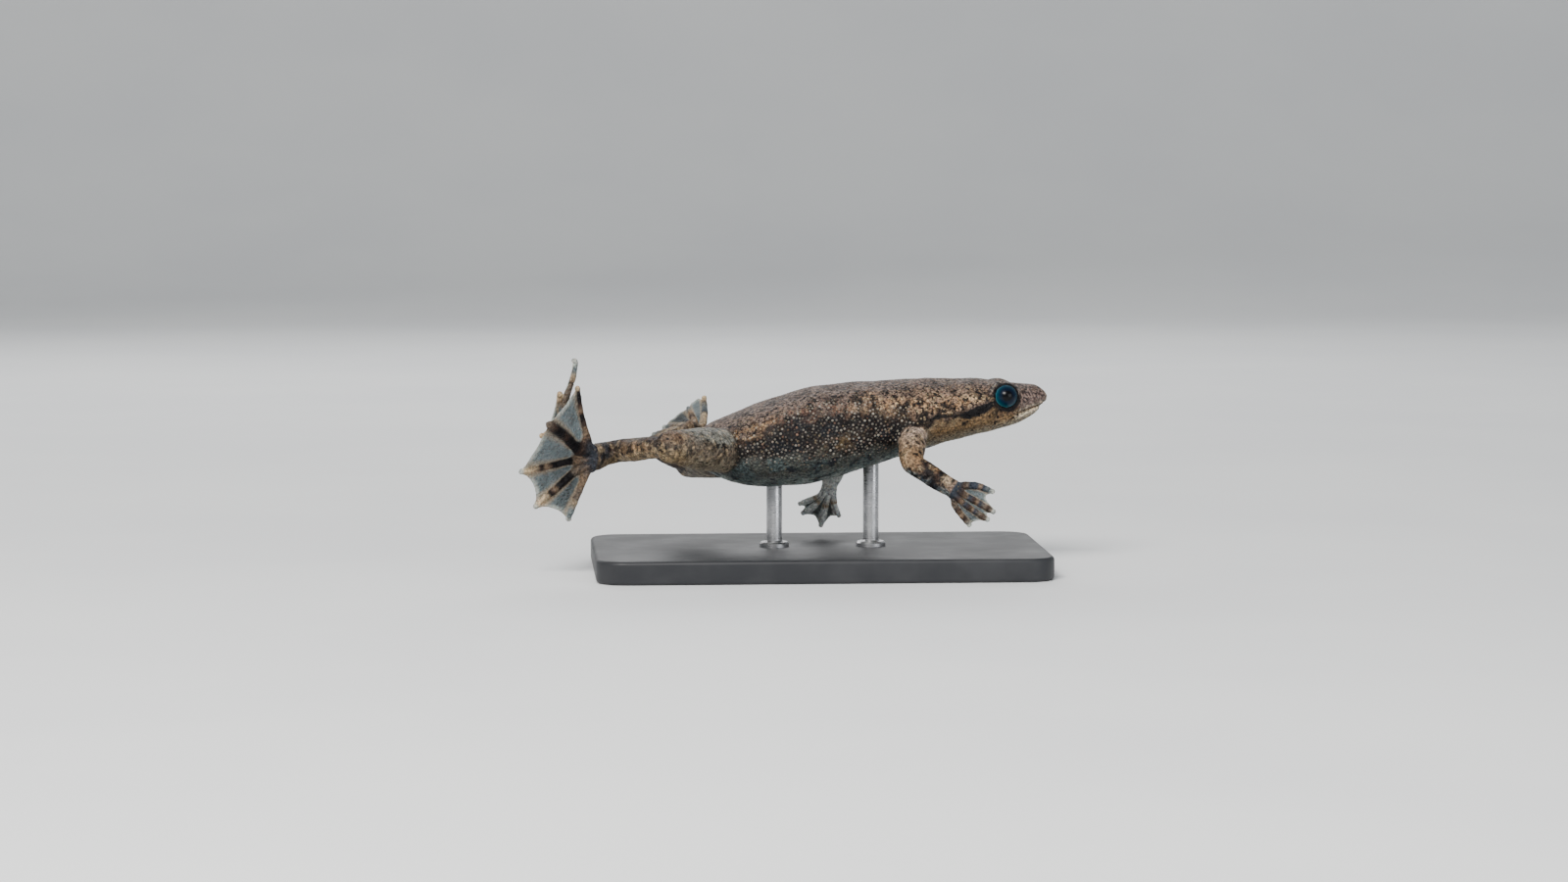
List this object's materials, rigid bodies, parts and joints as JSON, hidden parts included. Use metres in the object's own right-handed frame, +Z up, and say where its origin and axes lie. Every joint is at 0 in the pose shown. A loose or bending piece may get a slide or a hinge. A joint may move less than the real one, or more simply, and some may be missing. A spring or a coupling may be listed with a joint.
{
  "type": "dwarf clawed frog display model",
  "caption": "Life-size still model of a dwarf clawed frog swimming with webbed hands and feet spread, held by thin rods over a plain flat base.",
  "frame": {"origin": "middle of the underside of the stand's base", "axes": "+X towards the frog's snout, +Y towards its left side, +Z up"},
  "size_m": [0.054, 0.026, 0.0221],
  "materials": {
    "skin": "moist, finely warty grey-brown skin with gold and black mottling",
    "web": "thin moist web skin, blue grey, with dark and cream bands on the digits",
    "eye": "glossy, blue green iris round a black pupil",
    "stand_base": "satin charcoal paint",
    "stand_rod": "fine brushed steel"
  },
  "bodies": {
    "root": {"head": "skin", "torso": "skin", "pelvis": "skin", "upper_arm_right": "skin", "upper_arm_left": "skin", "forearm_right": "skin", "forearm_left": "skin", "thigh_right": "skin", "thigh_left": "skin", "shank_right": "skin", "shank_left": "skin", "tarsus_right": "skin", "tarsus_left": "skin", "hand_right": "web", "hand_left": "web", "foot_right": "web", "foot_left": "web", "eye_right": "eye", "eye_left": "eye", "stand_base": "stand_base", "stand_rod_rear": "stand_rod", "stand_rod_front": "stand_rod"}
  },
  "joints": []
}
